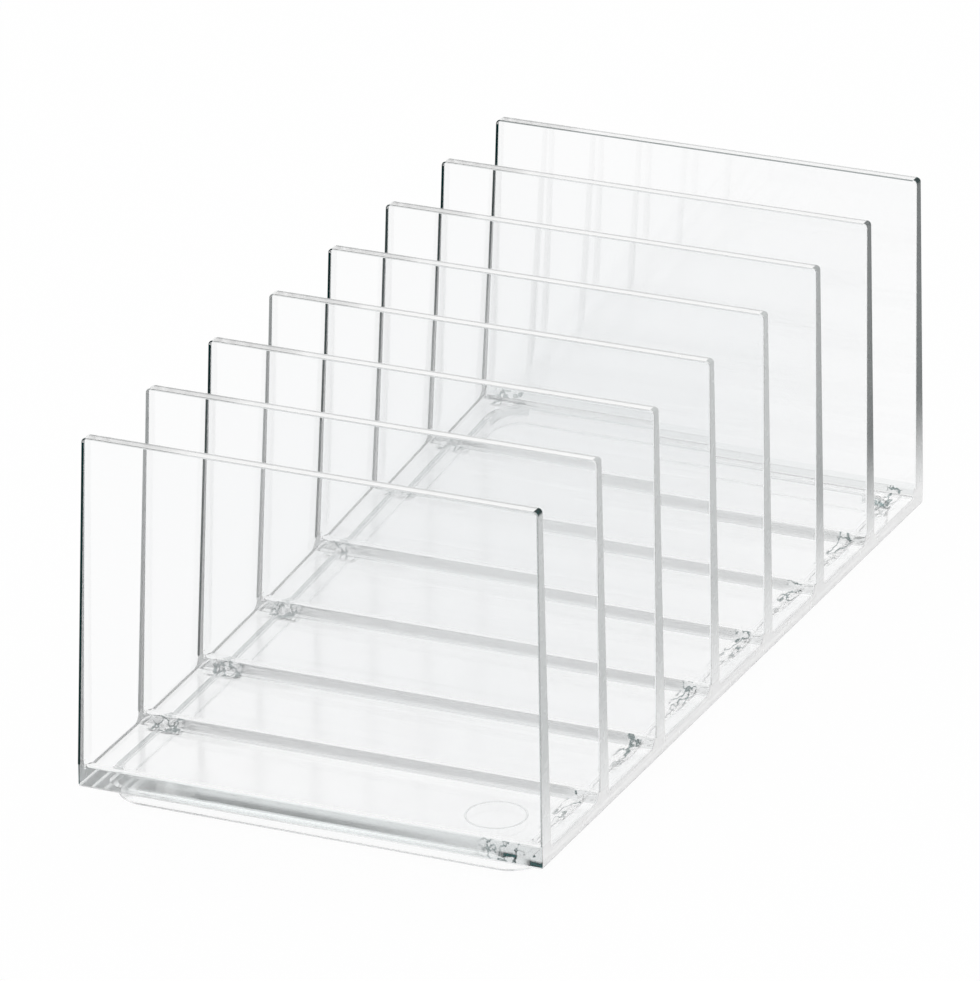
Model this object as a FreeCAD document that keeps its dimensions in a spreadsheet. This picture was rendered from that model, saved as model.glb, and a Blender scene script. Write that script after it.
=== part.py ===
import FreeCAD, Part
import os
import Sketcher

# Clear palette rack: a floor plate on an inset foot rim, with upright panels bonded into it.
# X runs across the slots, Y along the row of panels and Z up. The origin is under the middle
# of the rack, on the surface that it stands on. Lengths are in millimetres.

doc = FreeCAD.newDocument("palette_rack")

# Driving dimensions: name, size, meaning
SIZES = [
    ("base_width", 107.0, "floor plate across the slots, and each panel at its foot"),
    ("slot_pitch", 31.0, "middle of one panel to the middle of the next"),
    ("base_thickness", 3.0, "floor plate"),
    ("foot_height", 4.0, "foot rim, below the floor plate"),
    ("foot_side_inset", 4.4, "foot rim's outer wall, in from the plate's sides"),
    ("foot_end_inset", 4.4, "foot rim's outer wall, in from the plate's ends"),
    ("foot_wall", 1.8, "thickness of the foot rim's wall"),
    ("foot_corner", 8.0, "foot rim's outer corner radius"),
    ("rib_height", 2.2, "low rib on the floor plate under each panel"),
    ("rib_cove", 1.8, "cove where a rib runs out into the floor"),
    ("panel_height", 74.2, "panel, above its rib"),
    ("panel_top", 2.8, "panel's thickness at its top edge"),
    ("panel_face_draft", 1.1, "how much further out each face of a panel stands at its foot"),
    ("panel_side_draft", 1.7, "how much further out each side of a panel stands at its foot"),
    ("panel_corner", 1.0, "radius of a panel's top corners"),
    ("tongue_depth", 1.6, "tongue under a panel, down into its rib"),
    ("tongue_thickness", 2.4, "thickness of the tongue"),
    ("tongue_setback", 6.0, "tongue's ends, in from the panel's ends"),
    ("tongue_clearance", 0.1, "bonding gap around the tongue"),
]
DIVIDER_COUNT = 6
PANEL_NAMES = ["front_panel"]
PANEL_NAMES += [f"divider_{k + 1}" for k in range(DIVIDER_COUNT)]
PANEL_NAMES += ["back_panel"]
PITCH_COUNT = len(PANEL_NAMES) - 1

sheet = doc.addObject("Spreadsheet::Sheet", "sizes")
for row, (alias, value, meaning) in enumerate(SIZES, start=1):
    sheet.set(f"A{row}", meaning)
    sheet.set(f"B{row}", str(value))
    sheet.setAlias(f"B{row}", alias)
doc.recompute()

# Lengths that follow from the driving ones, as expressions on the sheet
FIRST_PANEL_Y = f"-{PITCH_COUNT} * sizes.slot_pitch / 2"
PANEL_FOOT = "(sizes.panel_top + 2 * sizes.panel_face_draft)"
PANEL_TOP_WIDTH = "(sizes.base_width - 2 * sizes.panel_side_draft)"
BASE_LENGTH = f"{PITCH_COUNT} * sizes.slot_pitch + {PANEL_FOOT}"
RIB_TOP = "sizes.base_thickness + sizes.rib_height"
TONGUE_LENGTH = "sizes.base_width - 2 * sizes.tongue_setback"
GROOVE_DEPTH = "sizes.tongue_depth + sizes.tongue_clearance"
FOOT_WIDTH = "sizes.base_width - 2 * sizes.foot_side_inset"
FOOT_LENGTH = f"{BASE_LENGTH} - 2 * sizes.foot_end_inset"
NEAR = 1e-6


def new_body(label):
    body = doc.addObject("PartDesign::Body", label)
    body.Label = label
    return body


def datum(body, role):
    return next(f for f in body.Origin.OriginFeatures if f.Role == role)


def rectangle(body, name, across, along, level="0", middle="0"):
    """Sketch of a rectangle about its own centre, at a level up Z and a middle along Y."""
    sketch = body.newObject("Sketcher::SketchObject", name)
    sketch.AttachmentSupport = (datum(body, "XY_Plane"), [""])
    sketch.MapMode = "FlatFace"
    sketch.setExpression("AttachmentOffset.Base.z", level)
    sketch.setExpression("AttachmentOffset.Base.y", middle)
    unit = [FreeCAD.Vector(x, y, 0) for x, y in ((-1, -1), (1, -1), (1, 1), (-1, 1))]
    for k, start in enumerate(unit):
        sketch.addGeometry(Part.LineSegment(start, unit[(k + 1) % len(unit)]))
    for k in range(len(unit)):
        joined = Sketcher.Constraint("Coincident", k, 2, (k + 1) % len(unit), 1)
        sketch.addConstraint(joined)
        sketch.addConstraint(Sketcher.Constraint("Vertical" if k % 2 else "Horizontal", k))
    sketch.addConstraint(Sketcher.Constraint("Symmetric", 0, 1, 1, 2, -1, 1))
    for label, kind, line, size in (("across", "DistanceX", 0, across), ("along", "DistanceY", 1, along)):
        index = sketch.addConstraint(Sketcher.Constraint(kind, line, 1, line, 2, 1))
        sketch.renameConstraint(index, label)
        sketch.setExpression(f"Constraints.{label}", size)
    return sketch


def extrude(body, kind, name, sketch, length, down=False):
    """Pad or Pocket of a sketch by a length from the sheet."""
    feature = body.newObject(f"PartDesign::{kind}", name)
    feature.Profile = sketch
    feature.setExpression("Length", length)
    feature.Reversed = down
    body.Tip = feature
    doc.recompute()
    return feature


def round_edges(body, name, base, wanted, radius):
    """Fillet on the edges of a feature that a test on their two ends picks out."""
    picked = []
    for number, edge in enumerate(base.Shape.Edges, start=1):
        ends = [vertex.Point for vertex in edge.Vertexes]
        if len(ends) == 2 and wanted(*ends):
            picked.append(f"Edge{number}")
    fillet = body.newObject("PartDesign::Fillet", name)
    fillet.Base = (base, picked)
    fillet.setExpression("Radius", radius)
    body.Tip = fillet
    doc.recompute()
    return fillet


def same(a, b):
    return abs(a - b) < NEAR


def make_base_plate():
    """Floor plate with a low grooved rib across it for each panel, coved into the floor."""
    body = new_body("base_plate")
    body.setExpression("Placement.Base.z", "sizes.foot_height")
    floor = rectangle(body, "floor_outline", "sizes.base_width", BASE_LENGTH)
    extrude(body, "Pad", "floor", floor, "sizes.base_thickness")

    rib_outline = rectangle(
        body, "rib_outline", "sizes.base_width", PANEL_FOOT, "sizes.base_thickness", FIRST_PANEL_Y
    )
    rib = extrude(body, "Pad", "rib", rib_outline, "sizes.rib_height")
    groove_outline = rectangle(
        body,
        "groove_outline",
        f"{TONGUE_LENGTH} + 2 * sizes.tongue_clearance",
        "sizes.tongue_thickness + 2 * sizes.tongue_clearance",
        RIB_TOP,
        FIRST_PANEL_Y,
    )
    groove = extrude(body, "Pocket", "groove", groove_outline, GROOVE_DEPTH)

    row = body.newObject("PartDesign::LinearPattern", "rib_row")
    row.Originals = [rib, groove]
    row.Direction = (datum(body, "Y_Axis"), [""])
    row.setExpression("Length", f"{PITCH_COUNT} * sizes.slot_pitch")
    row.Occurrences = len(PANEL_NAMES)
    body.Tip = row
    doc.recompute()

    floor_top = sheet.base_thickness
    end = row.Shape.BoundBox.YMax

    def rib_foot(a, b):
        level = same(a.z, floor_top) and same(b.z, floor_top)
        return level and same(a.y, b.y) and not same(abs(a.y), end)

    round_edges(body, "rib_coves", row, rib_foot, "sizes.rib_cove")
    return body


def make_foot_rim():
    """Rounded rectangular rim under the floor plate, which the rack stands on."""
    body = new_body("foot_rim")
    outline = rectangle(body, "rim_outline", FOOT_WIDTH, FOOT_LENGTH)
    block = extrude(body, "Pad", "rim_block", outline, "sizes.foot_height")

    def upright(a, b):
        return same(a.x, b.x) and same(a.y, b.y)

    block = round_edges(body, "rim_corners", block, upright, "sizes.foot_corner")
    open_faces = []
    for number, face in enumerate(block.Shape.Faces, start=1):
        if same(face.BoundBox.ZLength, 0):
            open_faces.append(f"Face{number}")
    hollow = body.newObject("PartDesign::Thickness", "rim_hollow")
    hollow.Base = (block, open_faces)
    hollow.setExpression("Value", "sizes.foot_wall")
    hollow.Reversed = True
    body.Tip = hollow
    doc.recompute()
    return body


def make_panel(label, index):
    """Upright panel, thicker and wider at its foot, with a tongue that sits in the rib's groove."""
    body = new_body(label)
    body.setExpression("Placement.Base.y", f"{FIRST_PANEL_Y} + {index} * sizes.slot_pitch")
    body.setExpression("Placement.Base.z", f"sizes.foot_height + {RIB_TOP}")
    slab = body.newObject("PartDesign::AdditiveWedge", f"{label}_slab")
    slab.AttachmentSupport = (datum(body, "XZ_Plane"), [""])
    slab.MapMode = "FlatFace"
    slab.Ymin = 0
    slab.setExpression("Ymax", "sizes.panel_height")
    spans = {
        "X": "sizes.base_width",
        "Z": PANEL_FOOT,
        "X2": PANEL_TOP_WIDTH,
        "Z2": "sizes.panel_top",
    }
    for side, span in spans.items():
        slab.setExpression(f"{side}min", f"-{span} / 2")
        slab.setExpression(f"{side}max", f"{span} / 2")
    body.Tip = slab
    doc.recompute()

    def top_corner(a, b):
        level = same(a.z, sheet.panel_height) and same(b.z, sheet.panel_height)
        return level and same(a.x, b.x)

    round_edges(body, f"{label}_corners", slab, top_corner, "sizes.panel_corner")
    tongue = rectangle(body, f"{label}_tongue_outline", TONGUE_LENGTH, "sizes.tongue_thickness")
    extrude(body, "Pad", f"{label}_tongue", tongue, "sizes.tongue_depth", down=True)
    return body


bodies = [make_base_plate(), make_foot_rim()]
bodies += [make_panel(label, index) for index, label in enumerate(PANEL_NAMES)]
doc.recompute()

faulty = [o.Name for o in doc.Objects if "Invalid" in o.State or "Error" in o.State]
faulty += [b.Label for b in bodies if b.Shape.isNull() or not b.Shape.isValid()]
faulty += [b.Label for b in bodies if len(b.Shape.Solids) != 1]
if faulty:
    raise RuntimeError(f"not built: {faulty}")

os.makedirs("parts", exist_ok=True)
for body in bodies:
    body.Shape.exportStep(f"parts/{body.Label}.step")
    box = body.Shape.BoundBox
    print(f"{body.Label}: {body.Shape.Volume:.1f} mm3, z {box.ZMin:.2f} to {box.ZMax:.2f}")
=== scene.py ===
import math

import bmesh
import bpy
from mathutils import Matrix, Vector


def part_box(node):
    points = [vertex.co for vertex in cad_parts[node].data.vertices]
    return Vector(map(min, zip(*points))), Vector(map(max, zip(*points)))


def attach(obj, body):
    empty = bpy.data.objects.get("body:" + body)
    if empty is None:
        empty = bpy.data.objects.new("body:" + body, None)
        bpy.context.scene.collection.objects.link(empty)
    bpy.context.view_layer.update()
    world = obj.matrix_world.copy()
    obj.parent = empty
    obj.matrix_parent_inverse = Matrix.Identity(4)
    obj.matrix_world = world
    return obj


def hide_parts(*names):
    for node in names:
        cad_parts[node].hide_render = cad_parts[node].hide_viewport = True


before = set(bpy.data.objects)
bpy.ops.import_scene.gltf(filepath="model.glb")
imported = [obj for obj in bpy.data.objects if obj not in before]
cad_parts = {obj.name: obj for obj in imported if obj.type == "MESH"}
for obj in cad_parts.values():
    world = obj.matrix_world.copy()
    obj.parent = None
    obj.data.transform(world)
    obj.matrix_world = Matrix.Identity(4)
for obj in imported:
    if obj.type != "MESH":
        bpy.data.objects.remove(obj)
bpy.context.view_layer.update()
scene = bpy.context.scene
scene.view_settings.view_transform = "Standard"
panelNodes = [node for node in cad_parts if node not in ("base_plate", "foot_rim")]
panelNodes.sort(key=lambda node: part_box(node)[0].y)  # from the front to the back
quarterTurn = math.pi / 2
print("frame loaded:", len(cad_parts), "nodes,", len(panelNodes), "panels")


# camera, from the corners of the panels and the base in the photo
photoView = {
    "aim": (-3.118e-3, -7.97e-3, 41.754e-3),  # point at the middle of the picture
    "azimuth": 23.505,
    "elevation": 21.969,
    "roll": 0.05,
    "distance": 1.8567,
    "lens": 311.98,
    "sensor": 36.0,
    "clipReach": 100,  # seen from this part of the distance to this many times it
}


def setCamera():
    turn = math.radians(photoView["azimuth"])
    rise = math.radians(photoView["elevation"])
    back = Vector((math.sin(turn) * math.cos(rise), -math.cos(turn) * math.cos(rise), math.sin(rise)))
    data = bpy.data.cameras.new("photoCamera")
    data.lens = photoView["lens"]
    data.sensor_width = photoView["sensor"]
    data.clip_start = photoView["distance"] / photoView["clipReach"]
    data.clip_end = photoView["distance"] * photoView["clipReach"]
    camera = bpy.data.objects.new("photoCamera", data)
    camera.location = Vector(photoView["aim"]) + back * photoView["distance"]
    camera.rotation_euler = (-back).to_track_quat("-Z", "Y").to_euler()
    camera.rotation_euler.rotate_axis("Z", math.radians(photoView["roll"]))
    scene.collection.objects.link(camera)
    scene.camera = camera


setCamera()
print("camera set")


# node helpers
plasticIor = 1.57
plainGloss = 0.5
slotPitch = 31.0e-3
leftToRight = (-0.01, 0.01)  # across the rack's middle
noiseMiddle = 0.5
hazeRange = (0.5, 0.8)  # noise where the haze begins, and where it is full


def newFinish(name):
    material = bpy.data.materials.new(name)
    material.use_nodes = True
    tree = material.node_tree
    return material, tree, tree.nodes["Principled BSDF"]


def noiseOn(tree, scale, detail=2.0, place=None):
    if place is None:
        place = tree.nodes.new("ShaderNodeTexCoord").outputs["Object"]
    noise = tree.nodes.new("ShaderNodeTexNoise")
    noise.inputs["Scale"].default_value = scale
    noise.inputs["Detail"].default_value = detail
    tree.links.new(place, noise.inputs["Vector"])
    return noise.outputs["Fac"]


def mathOn(tree, operation, *terms):
    step = tree.nodes.new("ShaderNodeMath")
    step.operation = operation
    for socket, term in zip(step.inputs, terms):
        if isinstance(term, float):
            socket.default_value = term
        else:
            tree.links.new(term, socket)
    return step.outputs["Value"]


def axesOf(tree, space="Object"):
    place = tree.nodes.new("ShaderNodeTexCoord")
    split = tree.nodes.new("ShaderNodeSeparateXYZ")
    tree.links.new(place.outputs[space], split.inputs["Vector"])
    return split.outputs


def fadeAlong(tree, socket, span):
    # 0 before the span, 1 past it
    fade = tree.nodes.new("ShaderNodeMapRange")
    fade.interpolation_type = "SMOOTHSTEP"
    fade.inputs["From Min"].default_value, fade.inputs["From Max"].default_value = span
    tree.links.new(socket, fade.inputs["Value"])
    return fade.outputs["Result"]


def bandAlong(tree, socket, begin, end):
    return mathOn(tree, "SUBTRACT", fadeAlong(tree, socket, begin), fadeAlong(tree, socket, end))


def overlapOf(tree, share, *others):
    for other in others:
        share = mathOn(tree, "MULTIPLY", share, other)
    return share


def spotOn(tree, axes, spot, wobble=None):
    bands = []
    for axis, (begin, end) in spot.items():
        along = axes[axis] if wobble is None else mathOn(tree, "ADD", axes[axis], wobble)
        bands.append(bandAlong(tree, along, begin, end))
    return overlapOf(tree, *bands)


def mixColours(tree, share, a, b):
    mix = tree.nodes.new("ShaderNodeMix")
    mix.data_type = "RGBA"
    tree.links.new(share, mix.inputs["Factor"])
    for socket, colour in ((mix.inputs["A"], a), (mix.inputs["B"], b)):
        if isinstance(colour, tuple):
            socket.default_value = colour + (1.0,)
        else:
            tree.links.new(colour, socket)
    return mix.outputs["Result"]


def rampUp(tree, axes, settings):
    rise = tree.nodes.new("ShaderNodeMapRange")
    rise.inputs["From Min"].default_value, rise.inputs["From Max"].default_value = settings["span"]
    tree.links.new(axes["Z"], rise.inputs["Value"])
    ramp = tree.nodes.new("ShaderNodeValToRGB")
    elements = ramp.color_ramp.elements
    while len(elements) < len(settings["stops"]):
        elements.new(0.5)
    for element, (position, level) in zip(elements, settings["stops"]):
        element.position = position
        element.color = [level * share for share in settings["tint"]] + [1.0]
    tree.links.new(rise.outputs["Result"], ramp.inputs["Fac"])
    return ramp.outputs["Color"]


def slotShare(tree, axes):
    # 0 in the middle of each panel, up to 1 at the next
    share = mathOn(tree, "MULTIPLY_ADD", axes["Y"], 1 / slotPitch, 0.5)
    return mathOn(tree, "FRACT", share)


def setHaze(tree, shader, settings):
    level = tree.nodes.new("ShaderNodeMapRange")
    level.inputs["From Min"].default_value, level.inputs["From Max"].default_value = hazeRange
    level.inputs["To Min"].default_value, level.inputs["To Max"].default_value = settings["roughness"]
    tree.links.new(noiseOn(tree, settings["hazeScale"]), level.inputs["Value"])
    tree.links.new(level.outputs["Result"], shader.inputs["Roughness"])


# rippled moulding above the rim, before each rib, with painted shade in dark squiggles
restlessAndShade = {
    "patches": (  # across the rack, and as a share of the way from one panel to the next
        {"middle": -0.046, "reach": (0.0045, 0.003), "spanSlot": (0.78, 0.84)},
        {"middle": 0.0484, "reach": (0.0022, 0.0014), "spanSlot": (0.3, 0.75)},
    ),
    "rippleScale": 700.0,
    "rippleDepth": 0.3e-3,
    "crinkleScale": 450.0,
    "crinkleStretch": (1.0, 0.35, 1.0),  # drawn out along the rack
    "crinkleWidth": (0.045, 0.02),
    # painted shade: colour of the dark squiggles
    "crinkleShade": (0.08, 0.11, 0.11),
}


def restlessAndShadePatch(tree, axes):
    share = slotShare(tree, axes)
    total = 0.0
    for patch in restlessAndShade["patches"]:
        away = mathOn(tree, "SUBTRACT", axes["X"], patch["middle"])
        near = fadeAlong(tree, mathOn(tree, "ABSOLUTE", away), patch["reach"])
        near = overlapOf(tree, near, fadeAlong(tree, share, patch["spanSlot"]))
        total = mathOn(tree, "ADD", near, total)
    return total


# where the dark squiggles of painted shade lie
def crinkleShadeMask(tree):
    drawn = tree.nodes.new("ShaderNodeVectorMath")
    drawn.operation = "MULTIPLY"
    drawn.inputs[1].default_value = restlessAndShade["crinkleStretch"]
    place = tree.nodes.new("ShaderNodeTexCoord")
    tree.links.new(place.outputs["Object"], drawn.inputs[0])
    noise = noiseOn(tree, restlessAndShade["crinkleScale"], place=drawn.outputs["Vector"])
    wander = mathOn(tree, "SUBTRACT", noise, noiseMiddle)
    return fadeAlong(tree, mathOn(tree, "ABSOLUTE", wander), restlessAndShade["crinkleWidth"])


# clear finishes
clearPlastic = {
    "colour": (0.976, 0.979, 0.981),  # what one panel lets through
    "gloss": 0.15,
    "roughness": (0.0, 0.03),  # polished, a little hazier in patches
    "hazeScale": 90.0,
    "flowScale": 28.0,  # slow ripple left by the flow in the mould
    "flowDepth": 0.02e-3,
}
slotFloor = {
    "colour": (1.0, 1.0, 1.0),
    "gloss": 0.15,
    "roughness": (0.1, 0.18),
    "hazeScale": 60.0,
    "flowScale": 28.0,
    "flowDepth": 0.02e-3,
}
# back rounding of the panels' tops: a grey line of painted shade
backTopLine = {
    "colour": (0.75, 0.77, 0.77),
    "roughness": (0.1, 0.2),
    "hazeScale": 200.0,
    "flowScale": 60.0,
    "flowDepth": 0.02e-3,
}


def makeClear(name, settings, toneOf=None, unevenAndShaded=False):
    # toneOf paints shade into the plastic's colour by its place; the flag after it adds the rippled
    # moulding, with its painted shade in dark squiggles
    material, tree, shader = newFinish(name)
    shader.inputs["Base Color"].default_value = settings["colour"] + (1.0,)
    shader.inputs["IOR"].default_value = plasticIor
    shader.inputs["Transmission Weight"].default_value = 1.0
    shader.inputs["Specular IOR Level"].default_value = settings.get("gloss", plainGloss)
    setHaze(tree, shader, settings)
    axes = axesOf(tree)
    colour = toneOf(tree, axes, settings) if toneOf else settings["colour"]
    flow = noiseOn(tree, settings["flowScale"], detail=1.0)
    height = mathOn(tree, "MULTIPLY", flow, settings["flowDepth"])
    if unevenAndShaded:
        patch = restlessAndShadePatch(tree, axes)
        ripple = noiseOn(tree, restlessAndShade["rippleScale"])
        ripple = mathOn(tree, "MULTIPLY", ripple, restlessAndShade["rippleDepth"])
        height = mathOn(tree, "ADD", height, overlapOf(tree, ripple, patch))
        # painted shade in dark squiggles over the rippled patches
        crinkleShade = overlapOf(tree, crinkleShadeMask(tree), patch)
        colour = mixColours(tree, crinkleShade, colour, restlessAndShade["crinkleShade"])
    if not isinstance(colour, tuple):
        tree.links.new(colour, shader.inputs["Base Color"])
    bump = tree.nodes.new("ShaderNodeBump")
    bump.inputs["Distance"].default_value = 1.0
    tree.links.new(height, bump.inputs["Height"])
    tree.links.new(bump.outputs["Normal"], shader.inputs["Normal"])
    return material


# rounded edges of the panels: a grey tint, darker on the front panel's right edge, is painted shade
roundedEdge = {
    "colour": (0.9, 0.92, 0.92),
    "rightFirst": (0.3, 0.33, 0.33),  # painted shade on the front panel's right edge
    "frontShare": (0.45, 0.55),  # the front half of a panel is past this share of the pitch
    "rightSpan": (0.05, 0.0505),
    "firstSpan": (-0.1, -0.104),
    "roughness": (0.02, 0.1),
    "hazeScale": 400.0,
    "flowScale": 150.0,
    "flowDepth": 0.02e-3,
}


def edgeTone(tree, axes, settings):
    front = fadeAlong(tree, slotShare(tree, axes), settings["frontShare"])
    toRight = fadeAlong(tree, axes["X"], settings["rightSpan"])
    toFirst = fadeAlong(tree, axes["Y"], settings["firstSpan"])
    first = overlapOf(tree, front, toRight, toFirst)
    return mixColours(tree, first, settings["colour"], settings["rightFirst"])


# coves before each rib: grey bands of painted shade, pale at both ends, paler to the back and on the
# last rib
ribFoot = {
    "colour": (0.95, 0.96, 0.96),  # at both ends
    "span": (7.0e-3, 9.2e-3),
    "stops": ((0.0, 0.95), (0.2, 0.74), (0.35, 0.58), (0.85, 0.54), (1.0, 0.34)),  # painted shade, up the rib
    "tint": (0.98, 1.0, 1.0),
    "leftSpan": (-0.047, -0.041),
    "rightSpan": (0.0455, 0.049),
    "back": (0.7, 0.71, 0.71),
    "backSpan": (0.0, 0.12),
    "last": (0.82, 0.83, 0.83),
    "lastRib": {  # pale up to its top line
        "Y": ((0.1, 0.104), (0.2, 0.21)),
        "Z": ((0.0, 1.0e-3), (8.7e-3, 9.0e-3)),
    },
    "roughness": (0.1, 0.22),
    "hazeScale": 200.0,
    "flowScale": 40.0,
    "flowDepth": 0.03e-3,
}


def ribTone(tree, axes, settings):
    toBack = fadeAlong(tree, axes["Y"], settings["backSpan"])
    fromLeft = fadeAlong(tree, axes["X"], settings["leftSpan"])
    toRight = fadeAlong(tree, axes["X"], settings["rightSpan"])
    colour = mixColours(tree, toBack, rampUp(tree, axes, settings), settings["back"])
    colour = mixColours(tree, fromLeft, settings["colour"], colour)
    colour = mixColours(tree, toRight, colour, settings["colour"])
    return mixColours(tree, spotOn(tree, axes, settings["lastRib"]), colour, settings["last"])


# rim's sole: painted shade, dark along the left, greyer to the back, darkest in the back right corner
rimSole = {
    "colour": (0.35, 0.38, 0.38),  # painted shade along the left
    "clear": (0.97, 0.98, 0.98),
    "back": (0.55, 0.58, 0.58),
    "backSpan": (0.1, 0.103),
    "leftSpan": (-0.046, -0.0455),
    "corner": (0.01, 0.05, 0.05),  # painted shade: the back corner on the right holds little light
    "cornerSpan": ((0.041, 0.044), (0.1, 0.103)),
    "roughness": (0.02, 0.1),
    "hazeScale": 200.0,
    "flowScale": 60.0,
    "flowDepth": 0.05e-3,
}


def soleTone(tree, axes, settings):
    spanX, spanY = settings["cornerSpan"]
    inCorner = overlapOf(tree, fadeAlong(tree, axes["X"], spanX), fadeAlong(tree, axes["Y"], spanY))
    fromLeft = fadeAlong(tree, axes["X"], settings["leftSpan"])
    toBack = fadeAlong(tree, axes["Y"], settings["backSpan"])
    colour = mixColours(tree, fromLeft, settings["colour"], settings["clear"])
    colour = mixColours(tree, toBack, colour, settings["back"])
    return mixColours(tree, inCorner, colour, settings["corner"])


# front rounding of the panels' tops: a dark line of painted shade, darkest on the back panel
frontTopLine = {
    "colour": (0.58, 0.6, 0.6),
    "last": (0.12, 0.14, 0.14),  # on the back panel
    "lastSpan": (0.1, 0.104),
    "roughness": (0.1, 0.2),
    "hazeScale": 200.0,
    "flowScale": 60.0,
    "flowDepth": 0.02e-3,
}


def topLineTone(tree, axes, settings):
    toLast = fadeAlong(tree, axes["Y"], settings["lastSpan"])
    return mixColours(tree, toLast, settings["colour"], settings["last"])


# the plate's front and back, in painted shade: dim as light that has run along the plate leaves them,
# with a dark upright edge, dark spots and strokes, and a glassy patch left paler
plateEnd = {
    "roughness": (0.05, 0.15),
    "hazeScale": 200.0,
    "span": (4.0e-3, 9.2e-3),
    "stops": (  # up the end
        (0.0, 0.97), (0.37, 0.95), (0.44, 0.14), (0.6, 0.21), (0.76, 0.7), (1.0, 0.92),
    ),
    "tint": (0.93, 1.0, 1.0),
    "left": (0.8, 0.83, 0.83),
    "leftSpan": (-0.044, -0.022),
    "right": (0.7, 0.73, 0.73),
    "rightSpan": (0.0, 0.06),
    "back": (0.85, 0.87, 0.87),  # the back end is paler
    "backSpan": (0.0, 0.1),
    "crinkleSpan": ((0.037, 0.042), (0.048, 0.05)),
    "edge": (0.01, 0.03, 0.03),
    "edgeSpan": (-0.0529, -0.0531),  # painted shade on the upright edge on the left
    "blobColour": (0.95, 0.97, 0.97),
    "blob": {  # glassy, at the left, left paler than the painted shade
        "X": ((-0.0485, -0.047), (-0.0435, -0.042)),
        "Z": ((3.0e-3, 3.5e-3), (7.6e-3, 8.4e-3)),
    },
    "spot": (0.0, 0.003, 0.003),
    "spots": (  # painted shade, low in the right corner
        {"X": ((0.0485, 0.051), (0.06, 0.07)), "Z": ((3.0e-3, 3.5e-3), (5.6e-3, 6.4e-3))},
        {"X": ((0.0415, 0.045), (0.0475, 0.0485)), "Z": ((5.4e-3, 5.8e-3), (6.4e-3, 6.9e-3))},
    ),
    # dark strokes of painted shade
    "strokes": {
        "X": ((0.0465, 0.0475), (0.0525, 0.0535)),
        "Z": ((4.4e-3, 4.8e-3), (7.2e-3, 7.8e-3)),
    },
    "wobbleScale": 420.0,
    "wobble": 1.2e-3,  # how far the outlines of the blob and the spots stray
}


def makePlateEnd(name, settings):
    material, tree, shader = newFinish(name)
    shader.inputs["IOR"].default_value = plasticIor
    shader.inputs["Transmission Weight"].default_value = 1.0
    setHaze(tree, shader, settings)
    axes = axesOf(tree)
    toRight = fadeAlong(tree, axes["X"], settings["rightSpan"])
    fromLeft = fadeAlong(tree, axes["X"], settings["leftSpan"])
    # painted shade in dark squiggles near the right end
    crinkleShaded = bandAlong(tree, axes["X"], *settings["crinkleSpan"])
    crinkleShaded = overlapOf(tree, crinkleShaded, crinkleShadeMask(tree))
    toEdge = fadeAlong(tree, axes["X"], settings["edgeSpan"])
    colour = mixColours(tree, toRight, rampUp(tree, axes, settings), settings["right"])
    colour = mixColours(tree, fromLeft, settings["left"], colour)
    colour = mixColours(tree, crinkleShaded, colour, restlessAndShade["crinkleShade"])
    colour = mixColours(tree, toEdge, colour, settings["edge"])
    wobble = mathOn(tree, "SUBTRACT", noiseOn(tree, settings["wobbleScale"]), noiseMiddle)
    wobble = mathOn(tree, "MULTIPLY", wobble, settings["wobble"])
    blob = spotOn(tree, axes, settings["blob"], wobble)
    colour = mixColours(tree, blob, colour, settings["blobColour"])
    for spot in settings["spots"]:
        colour = mixColours(tree, spotOn(tree, axes, spot, wobble), colour, settings["spot"])
    strokes = overlapOf(tree, spotOn(tree, axes, settings["strokes"]), crinkleShadeMask(tree))
    colour = mixColours(tree, strokes, colour, settings["spot"])
    toBack = fadeAlong(tree, axes["Y"], settings["backSpan"])
    colour = mixColours(tree, toBack, colour, settings["back"])
    tree.links.new(colour, shader.inputs["Base Color"])
    return material


# white, hazy edges painted as bright as they look in the light, painted light: the plate's sides,
# greyer on the left in painted shade, and the panels' tops with a grey line of painted shade at the
# back
plateSide = {
    "roughness": (0.2, 0.35),
    "hazeScale": 300.0,
    "clearness": 0.2,  # share that is still seen through
    "colour": (1.0, 1.0, 1.0),
    # painted shade on the plate's left side
    "left": (0.75, 0.78, 0.78),
}
topEdge = {
    "roughness": (0.15, 0.3),
    "hazeScale": 300.0,
    "clearness": 0.35,
    "colour": (1.0, 1.0, 1.0),
    # painted shade: grey line at the back of the panels' tops
    "backLine": (0.6, 0.61, 0.61),
    "backLineSpan": ((0.35e-3, 0.55e-3), (2.0e-3, 3.0e-3)),  # back from the panel's middle
}


def makePaleEdge(name, settings):
    material, tree, shader = newFinish(name)
    shader.inputs["IOR"].default_value = plasticIor
    shader.inputs["Transmission Weight"].default_value = settings["clearness"]
    setHaze(tree, shader, settings)
    axes = axesOf(tree)
    colour = settings["colour"]
    if "left" in settings:
        colour = mixColours(tree, fadeAlong(tree, axes["X"], leftToRight), settings["left"], colour)
    if "backLine" in settings:
        back = mathOn(tree, "MULTIPLY", slotShare(tree, axes), slotPitch)
        line = bandAlong(tree, back, *settings["backLineSpan"])
        colour = mixColours(tree, line, colour, settings["backLine"])
    tree.links.new(colour, shader.inputs["Base Color"])
    return material


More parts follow.
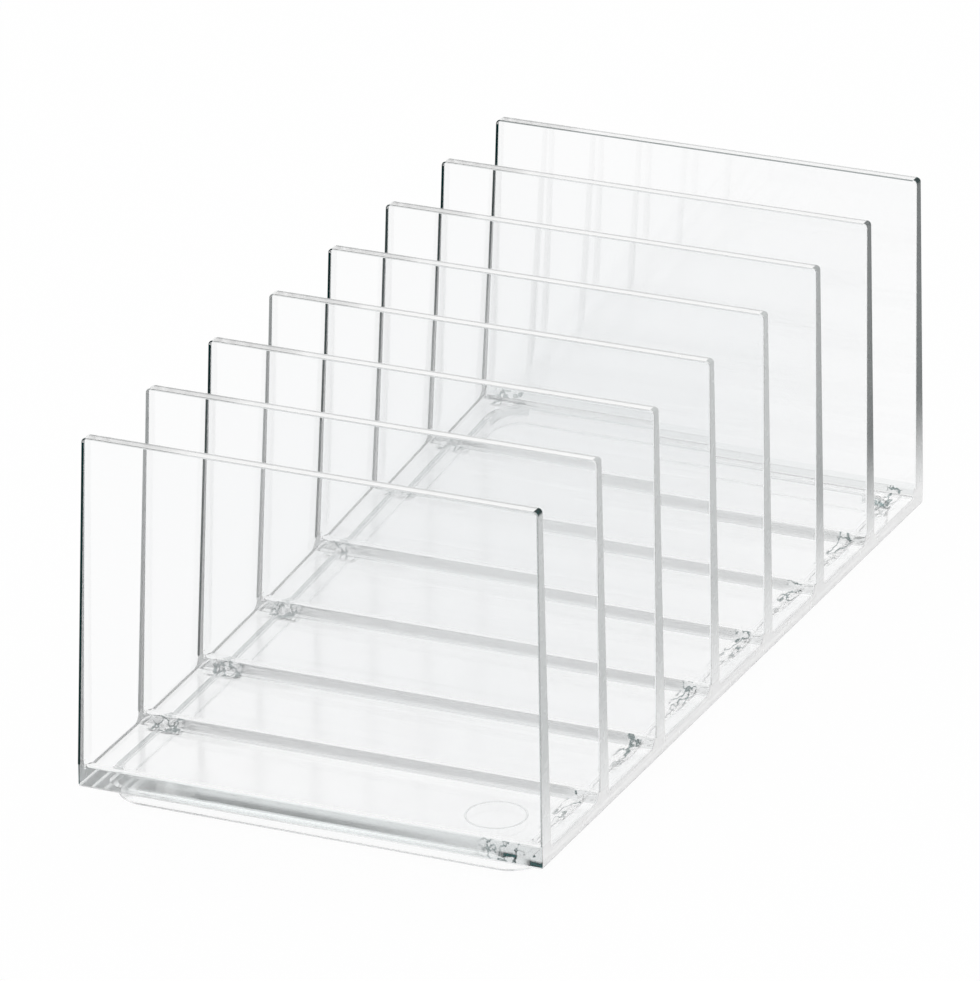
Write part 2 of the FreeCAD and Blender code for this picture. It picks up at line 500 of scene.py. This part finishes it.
# sides of the panels, painted light and shade: pale on the left, dim on the right and darker to the
# back
sideEdge = {
    "roughness": (0.25, 0.4),
    "hazeScale": 300.0,
    "clearness": 0.08,
    "gloss": 0.1,
    "front": (0.6, 0.62, 0.62),  # front panels' right sides
    "back": (0.115, 0.13, 0.13),  # back panels' right sides
    "left": (0.93, 0.94, 0.94),
    "foot": (0.96, 0.97, 0.97),
    "backSpan": (0.01, 0.09),  # where along the rack the right sides darken
    "footSpan": (0.004, 0.034),  # how far up a side the pale foot fades out
    "tip": (0.0, 0.02, 0.02),
    "tipSpan": ((0.1, 0.104), (0.082, 0.0828)),  # painted shade: dark right tips on the end panels
}


def makeSideEdge(name, settings):
    material, tree, shader = newFinish(name)
    shader.inputs["IOR"].default_value = plasticIor
    shader.inputs["Transmission Weight"].default_value = settings["clearness"]
    shader.inputs["Specular IOR Level"].default_value = settings["gloss"]
    setHaze(tree, shader, settings)
    axes = axesOf(tree)
    toBack = fadeAlong(tree, axes["Y"], settings["backSpan"])
    upFoot = fadeAlong(tree, axes["Z"], settings["footSpan"])
    toRight = fadeAlong(tree, axes["X"], leftToRight)
    spanY, spanZ = settings["tipSpan"]
    toEnds = fadeAlong(tree, mathOn(tree, "ABSOLUTE", axes["Y"]), spanY)
    tip = overlapOf(tree, toEnds, fadeAlong(tree, axes["Z"], spanZ))
    colour = mixColours(tree, toBack, settings["front"], settings["back"])
    colour = mixColours(tree, upFoot, settings["foot"], colour)
    colour = mixColours(tree, tip, colour, settings["tip"])
    colour = mixColours(tree, toRight, settings["left"], colour)
    tree.links.new(colour, shader.inputs["Base Color"])
    return material


# front edge on each panel's left, painted shade: little light leaves it
leftLine = {
    "dark": (0.005, 0.025, 0.025),
    "pale": (0.4, 0.42, 0.42),
    "paleSpan": (-0.02, 0.06),  # the paler ones darken to the back
    "beat": 62.0e-3,  # every other panel is darker
    "footSpan": ((0.06, 0.025), (0.0, 0.06)),  # paler down the back panels
}


def makeLeftLine(name, settings):
    material, tree, shader = newFinish(name)
    shader.inputs["Specular IOR Level"].default_value = 0.0
    axes = axesOf(tree)
    beat = mathOn(tree, "MULTIPLY", axes["Y"], 4 * quarterTurn / settings["beat"])
    beat = mathOn(tree, "SINE", beat)  # +1 at the front panel, -1 at the next
    beat = mathOn(tree, "MULTIPLY_ADD", beat, 0.5, 0.5)  # now 1 and 0
    toBack = fadeAlong(tree, axes["Y"], settings["paleSpan"])
    spanZ, spanY = settings["footSpan"]
    down = overlapOf(tree, fadeAlong(tree, axes["Z"], spanZ), fadeAlong(tree, axes["Y"], spanY))
    colour = mixColours(tree, toBack, settings["pale"], settings["dark"])
    colour = mixColours(tree, beat, colour, settings["dark"])
    colour = mixColours(tree, down, colour, settings["pale"])
    tree.links.new(colour, shader.inputs["Base Color"])
    return material


def makeBondedJoint(name):
    material, tree, shader = newFinish(name)
    tree.nodes.remove(shader)
    seeThrough = tree.nodes.new("ShaderNodeBsdfTransparent")
    tree.links.new(seeThrough.outputs["BSDF"], tree.nodes["Material Output"].inputs["Surface"])
    return material


finishes = [
    makeClear("clearPlastic", clearPlastic),
    makeBondedJoint("bondedJoint"),
    makeClear("roundedEdge", roundedEdge, edgeTone),
    makeSideEdge("sideEdge", sideEdge),
    makeClear("slotFloor", slotFloor, unevenAndShaded=True),
    makeClear("ribFoot", ribFoot, ribTone, unevenAndShaded=True),
    makePlateEnd("plateEnd", plateEnd),
    makePaleEdge("plateSide", plateSide),
    makePaleEdge("topEdge", topEdge),
    makeClear("rimSole", rimSole, soleTone),
    makeClear("frontTopLine", frontTopLine, topLineTone),
    makeClear("backTopLine", backTopLine),
    makeLeftLine("leftLine", leftLine),
]
(
    faceSlot, bondSlot, roundSlot, sideSlot, floorSlot, ribSlot,
    endSlot, plateSideSlot, topSlot, soleSlot, frontTopSlot, backTopSlot, leftSlot,
) = range(len(finishes))
print("finishes made")


# mesh helpers
def addFace(bm, corners, slot=faceSlot, smooth=False):
    face = bm.faces.new(corners)
    face.material_index = slot
    face.smooth = smooth


def finishPiece(bm, name, nodeNames):
    bmesh.ops.recalc_face_normals(bm, faces=bm.faces[:])
    mesh = bpy.data.meshes.new(name)
    bm.to_mesh(mesh)
    bm.free()
    for finish in finishes:
        mesh.materials.append(finish)
    piece = bpy.data.objects.new(name, mesh)
    scene.collection.objects.link(piece)
    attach(piece, "root")
    if nodeNames:
        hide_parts(*nodeNames)


def shareSteps(count):
    return [k / count for k in range(count + 1)]


# panels
panel = {
    "topThickness": 2.8e-3,
    "sideDraft": 1.7e-3,
    "topCorner": 1.0e-3,
    "cornerSteps": 6,
    "edgeRound": 0.25e-3,
    "roundSteps": 4,
    "leftMargin": 0.4e-3,  # dark margin of painted shade on the front face
    "tongueDepth": 1.6e-3,
    "tongueThickness": 2.4e-3,
    "tongueSetback": 6.0e-3,
}


def panelOutline(halfFoot, foot, top):
    # up the left side, round both top corners and down the right, with the way out at each point
    radius = panel["topCorner"]
    cornerX = halfFoot - panel["sideDraft"] - radius
    outline = [(-halfFoot, foot, -1.0, 0.0)]
    for side in (-1, 1):
        for share in shareSteps(panel["cornerSteps"]):
            turn = quarterTurn * (share if side < 0 else 1 - share)
            outX, outZ = side * math.cos(turn), math.sin(turn)
            outline.append((side * cornerX + radius * outX, top - radius + radius * outZ, outX, outZ))
    outline.append((halfFoot, foot, 1.0, 0.0))
    return outline


def panelSlot(step, top, k):
    # finish of the k-th strip back from the front face, at a step round the outline
    flat = panel["roundSteps"]
    if step == top:
        return frontTopSlot if k < flat else topSlot if k == flat else backTopSlot
    if k == flat:
        return sideSlot
    return leftSlot if step < top and k < flat else roundSlot


def makePanel(node):
    low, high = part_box(node)
    foot = low.z + panel["tongueDepth"]
    middle = (low.y + high.y) / 2
    footHalf = (high.y - low.y) / 2
    topHalf = panel["topThickness"] / 2
    rounding = panel["edgeRound"]

    def halfThickness(z):
        return footHalf + (topHalf - footHalf) * (z - foot) / (high.z - foot)

    bm = bmesh.new()
    rows = []
    for x, z, outX, outZ in panelOutline(high.x, foot, high.z):
        row = []
        for face in (-1, 1):
            for share in shareSteps(panel["roundSteps"]):
                turn = quarterTurn * (share if face < 0 else 1 - share)
                inset = rounding * (1 - math.sin(turn))
                atZ = z - outZ * inset
                y = middle + face * (halfThickness(atZ) - rounding * (1 - math.cos(turn)))
                row.append(bm.verts.new((x - outX * inset, y, atZ)))
        rows.append(row)
    top = len(rows) // 2 - 1
    for step, (a, b) in enumerate(zip(rows, rows[1:])):
        for k in range(len(a) - 1):
            slot = panelSlot(step, top, k)
            addFace(bm, (a[k], a[k + 1], b[k + 1], b[k]), slot, smooth=k != panel["roundSteps"])
    aside = Vector((panel["leftMargin"], 0.0, 0.0))
    margin = [bm.verts.new(row[0].co + aside) for row in rows[:2]]
    addFace(bm, (rows[0][0], rows[1][0], margin[1], margin[0]), leftSlot)
    addFace(bm, margin + [row[0] for row in rows[1:]])
    addFace(bm, [row[-1] for row in rows])

    # foot face and tongue, bonded into the rib
    reach = high.x - panel["tongueSetback"]
    half = panel["tongueThickness"] / 2
    mouth = [(-reach, -half), (reach, -half), (reach, half), (-reach, half)]
    upper = [bm.verts.new((x, middle + y, foot)) for x, y in mouth]
    lower = [bm.verts.new((x, middle + y, low.z)) for x, y in mouth]
    left, right = rows[0], rows[-1]
    addFace(bm, (left[0], margin[0], right[0], upper[1], upper[0]), bondSlot)
    addFace(bm, (left[-1], right[-1], upper[2], upper[3]), bondSlot)
    addFace(bm, left + [upper[3], upper[0]], bondSlot)
    addFace(bm, right + [upper[2], upper[1]], bondSlot)
    for k in range(4):
        n = (k + 1) % 4
        addFace(bm, (upper[k], upper[n], lower[n], lower[k]), bondSlot)
    addFace(bm, lower, bondSlot)
    finishPiece(bm, node + "_clear", [node])


for node in panelNodes:
    makePanel(node)
print("panels made:", len(panelNodes))


# foot rim, and the same outline on the underside of the plate
rim = {
    "wall": 1.8e-3,
    "corner": 8.0e-3,
    "cornerSteps": 10,
    "edgeRound": 0.25e-3,
    "roundSteps": 4,
}


def rimLoop(bm, inset, z):
    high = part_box("foot_rim")[1]
    halfX, halfY, radius = high.x - inset, high.y - inset, rim["corner"] - inset
    corners = []
    for quarter, (sideX, sideY) in enumerate(((1, 1), (-1, 1), (-1, -1), (1, -1))):
        arc = []
        for share in shareSteps(rim["cornerSteps"]):
            turn = quarterTurn * (quarter + share)
            x = sideX * (halfX - radius) + radius * math.cos(turn)
            y = sideY * (halfY - radius) + radius * math.sin(turn)
            arc.append(bm.verts.new((x, y, z)))
        corners.append(arc)
    return corners


def joinLoops(bm, a, b, slot=faceSlot, smoothAll=False):
    a, b = sum(a, []), sum(b, [])
    perCorner = rim["cornerSteps"] + 1
    for k in range(len(a)):
        n = (k + 1) % len(a)
        straight = n % perCorner == 0
        smooth = smoothAll or (slot != bondSlot and not straight)
        addFace(bm, (a[k], a[n], b[n], b[k]), slot, smooth)


def makeFootRim():
    low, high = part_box("foot_rim")
    rounding = rim["edgeRound"]
    section = [(0.0, high.z)]
    for share in shareSteps(rim["roundSteps"]):
        turn = quarterTurn * share
        section.append((rounding * (1 - math.cos(turn)), low.z + rounding * (1 - math.sin(turn))))
    inner = [(rim["wall"] - inset, z) for inset, z in reversed(section)]
    bm = bmesh.new()
    loops = [rimLoop(bm, inset, z) for inset, z in section + inner]
    sole = len(section) - 1
    flats = {0, sole, len(loops) - 2}
    for k in range(len(loops) - 1):
        slot = soleSlot if k == sole else faceSlot
        joinLoops(bm, loops[k], loops[k + 1], slot, smoothAll=k not in flats)
    joinLoops(bm, loops[-1], loops[0], bondSlot)
    finishPiece(bm, "foot_rim_clear", ["foot_rim"])


makeFootRim()
print("foot rim made")


# floor plate with its ribs
plate = {
    "thickness": 3.0e-3,
    "cove": 1.8e-3,
    "coveSteps": 7,
    "edgeRound": 0.45e-3,
    "underRound": 0.6e-3,
    "roundSteps": 4,
    "grooveClearance": 0.1e-3,
}
surfaceSlots = {
    "cove": ribSlot, "wall": ribSlot, "backCove": faceSlot, "backWall": faceSlot,
    "floor": floorSlot, "end": endSlot, "round": faceSlot, "under": faceSlot,
}


def arcOf(y, z, radius, wayOut, steps, kind, after):
    # rounding about a centre, or a cove where the radius is below 0; after is what follows it
    arc = []
    for share in shareSteps(steps):
        outY, outZ = wayOut(quarterTurn * share)
        arc.append((y + radius * outY, z + radius * outZ, outY, outZ, kind))
    arc[-1] = arc[-1][:4] + (after,)
    return arc


def plateSection():
    # outline across the ribs, from the front's underside up and over to the back's:
    # y, z, the way out, and the kind of surface that follows
    low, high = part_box("base_plate")
    under, underSteps = plate["underRound"], plate["roundSteps"]
    cove, coveSteps = plate["cove"], plate["coveSteps"]
    coveZ = low.z + plate["thickness"] + cove
    underZ = low.z + under
    lastNode = panelNodes[-1]

    def upFront(turn):
        return -math.sin(turn), -math.cos(turn)

    def upCove(turn):
        return -math.sin(turn), math.cos(turn)

    def downCove(turn):
        return math.cos(turn), math.sin(turn)

    def downBack(turn):
        return math.cos(turn), -math.sin(turn)

    section = arcOf(low.y + under, underZ, under, upFront, underSteps, "round", "end")
    for node in panelNodes:
        front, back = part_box(node)[0].y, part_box(node)[1].y
        if node != panelNodes[0]:
            section += arcOf(front - cove, coveZ, -cove, upCove, coveSteps, "cove", "wall")
        section.append((front, high.z, -1.0, 0.0, "bond"))
        section.append((back, high.z, 1.0, 0.0, "end" if node == lastNode else "backWall"))
        if node != lastNode:
            section += arcOf(back + cove, coveZ, -cove, downCove, coveSteps, "backCove", "floor")
    section += arcOf(high.y - under, underZ, under, downBack, underSteps, "round", "under")
    return section


def grooveIn(bm, corners, middle, top):
    # bonding groove in a rib's top, a little larger than the tongue
    gap = plate["grooveClearance"]
    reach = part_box("base_plate")[1].x - panel["tongueSetback"] + gap
    half = panel["tongueThickness"] / 2 + gap
    bottom = top - panel["tongueDepth"] - gap
    mouth = [(-reach, -half), (-reach, half), (reach, half), (reach, -half)]
    upper = [bm.verts.new((x, middle + y, top)) for x, y in mouth]
    lower = [bm.verts.new((x, middle + y, bottom)) for x, y in mouth]
    for k in range(4):
        n = (k + 1) % 4
        addFace(bm, (corners[k], corners[n], upper[n], upper[k]), bondSlot)
        addFace(bm, (upper[k], upper[n], lower[n], lower[k]), bondSlot)
    addFace(bm, lower, bondSlot)


def underside(bm, corners, z):
    # flat underside, with the band that the rim is bonded to
    outer = rimLoop(bm, 0.0, z)
    inner = rimLoop(bm, rim["wall"], z)
    for k, corner in enumerate(corners):
        n = (k + 1) % 4
        arc = outer[k]
        for a, b in zip(arc, arc[1:]):
            addFace(bm, (corner, a, b))
        addFace(bm, (corner, arc[-1], outer[n][0], corners[n]))
    joinLoops(bm, outer, inner, bondSlot)
    addFace(bm, sum(inner, []))


def makeBasePlate():
    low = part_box("base_plate")[0]
    section = plateSection()
    rounding = plate["edgeRound"]
    cuts = []
    for share in shareSteps(plate["roundSteps"]):
        turn = quarterTurn * share
        cuts.append((low.x + rounding * (1 - math.cos(turn)), rounding * (1 - math.sin(turn))))
    middleSpan = len(cuts) - 1
    cuts += [(-x, inset) for x, inset in reversed(cuts)]
    bm = bmesh.new()
    rows = []
    for x, inset in cuts:
        places = [(x, y - outY * inset, z - outZ * inset) for y, z, outY, outZ, kind in section]
        rows.append([bm.verts.new(place) for place in places])
    for s, (a, b) in enumerate(zip(rows, rows[1:])):
        for p, (y, z, outY, outZ, kind) in enumerate(section):
            q = (p + 1) % len(section)
            corners = (a[p], a[q], b[q], b[p])
            if s == middleSpan and kind == "bond":
                grooveIn(bm, corners, (y + section[q][0]) / 2, z)
            elif s == middleSpan and kind == "under":
                underside(bm, (b[p], a[p], a[q], b[q]), low.z)
            elif kind == "bond":
                addFace(bm, corners, bondSlot)
            else:
                white = s > middleSpan and kind not in ("end", "round", "under")
                slot = plateSideSlot if white else surfaceSlots[kind]
                addFace(bm, corners, slot, s != middleSpan or kind in ("cove", "backCove", "round"))
    for row in (rows[0], rows[-1]):
        addFace(bm, row, plateSideSlot)
    finishPiece(bm, "base_plate_clear", ["base_plate"])


makeBasePlate()
print("base plate made")


# plain moulded ring on the floor of the first slot, in the grey back-top-line finish of painted shade
floorRing = {
    "centre": (36.5e-3, -93.7e-3),
    "diameter": 13.0e-3,
    "width": 0.5e-3,
    "height": 0.12e-3,
    "steps": 72,
    "crownSteps": 6,
}


def makeFloorRing():
    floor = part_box("base_plate")[0].z + plate["thickness"]
    centreX, centreY = floorRing["centre"]
    bm = bmesh.new()
    rows = []
    for k in range(floorRing["steps"]):
        turn = 4 * quarterTurn * k / floorRing["steps"]
        row = []
        for share in shareSteps(floorRing["crownSteps"]):
            across = math.cos(2 * quarterTurn * share)
            rise = math.sin(2 * quarterTurn * share)
            radius = floorRing["diameter"] / 2 + floorRing["width"] / 2 * across
            x, y = centreX + radius * math.cos(turn), centreY + radius * math.sin(turn)
            row.append(bm.verts.new((x, y, floor + floorRing["height"] * rise)))
        rows.append(row)
    for k, a in enumerate(rows):
        b = rows[(k + 1) % len(rows)]
        for j in range(len(a) - 1):
            addFace(bm, (a[j], a[j + 1], b[j + 1], b[j]), backTopSlot, smooth=True)
        addFace(bm, (a[-1], a[0], b[0], b[-1]), bondSlot)
    finishPiece(bm, "floor_ring_clear", [])


makeFloorRing()
print("floor ring made")


# studio
studio = {
    "floorSize": 6.0,
    "floorGap": 0.05e-3,  # keeps the floor just clear of the rim's sole
    "floorColour": (0.98, 0.98, 0.98),
    "floorGlow": 0.97,  # share of plain white in the floor, where the camera looks
    "lampHeight": 1.5,
    "lampSize": 1.4,
    "lampPower": 4.8,
    "bounces": 32,  # enough to see through all the panels
}
sky = {
    "span": (-1.0, 1.0),
    "stops": (  # up the sky: 0.5 is the horizon, and the dark top is behind the lamp
        (0.0, 1.0), (0.69, 1.0), (0.78, 0.85), (0.92, 0.85), (0.947, 0.9), (0.957, 0.02),
    ),
    "tint": (1.0, 1.0, 1.0),
    "seen": (1.0, 1.0, 1.0),  # where the camera looks straight at it
}


def seenThrough(tree):
    # 1 where the camera looks, straight, by a reflection or through clear plastic
    path = tree.nodes.new("ShaderNodeLightPath")
    total = path.outputs["Is Camera Ray"]
    for way in ("Is Glossy Ray", "Is Transmission Ray"):
        total = mathOn(tree, "MAXIMUM", total, path.outputs[way])
    return total


def makeFloor():
    half = studio["floorSize"] / 2
    corners = [(-half, -half, 0), (half, -half, 0), (half, half, 0), (-half, half, 0)]
    mesh = bpy.data.meshes.new("studioFloor")
    mesh.from_pydata(corners, [], [(0, 1, 2, 3)])
    floor = bpy.data.objects.new("studioFloor", mesh)
    floor.location.z = -studio["floorGap"]
    scene.collection.objects.link(floor)
    material, tree, shader = newFinish("paleFloor")
    shader.inputs["Base Color"].default_value = studio["floorColour"] + (1.0,)
    shader.inputs["Roughness"].default_value = 1.0
    shader.inputs["Specular IOR Level"].default_value = 0.0
    glow = tree.nodes.new("ShaderNodeEmission")
    mix = tree.nodes.new("ShaderNodeMixShader")
    share = mathOn(tree, "MULTIPLY", seenThrough(tree), studio["floorGlow"])
    tree.links.new(share, mix.inputs["Fac"])
    tree.links.new(shader.outputs["BSDF"], mix.inputs[1])
    tree.links.new(glow.outputs["Emission"], mix.inputs[2])
    tree.links.new(mix.outputs["Shader"], tree.nodes["Material Output"].inputs["Surface"])
    mesh.materials.append(material)


def makeSky():
    world = bpy.data.worlds.new("studioSky")
    scene.world = world
    world.use_nodes = True
    tree = world.node_tree
    light = rampUp(tree, axesOf(tree, "Generated"), sky)
    path = tree.nodes.new("ShaderNodeLightPath")
    colour = mixColours(tree, path.outputs["Is Camera Ray"], light, sky["seen"])
    tree.links.new(colour, tree.nodes["Background"].inputs["Color"])


def makeLamp():
    data = bpy.data.lights.new("overheadLamp", "AREA")
    data.shape = "DISK"
    data.size = studio["lampSize"]
    data.energy = studio["lampPower"]
    lamp = bpy.data.objects.new("overheadLamp", data)
    lamp.location = (0.0, 0.0, studio["lampHeight"])
    scene.collection.objects.link(lamp)


makeFloor()
makeSky()
makeLamp()
for limit in ("max_bounces", "transmission_bounces", "glossy_bounces", "transparent_max_bounces"):
    setattr(scene.cycles, limit, studio["bounces"])
print("studio set")
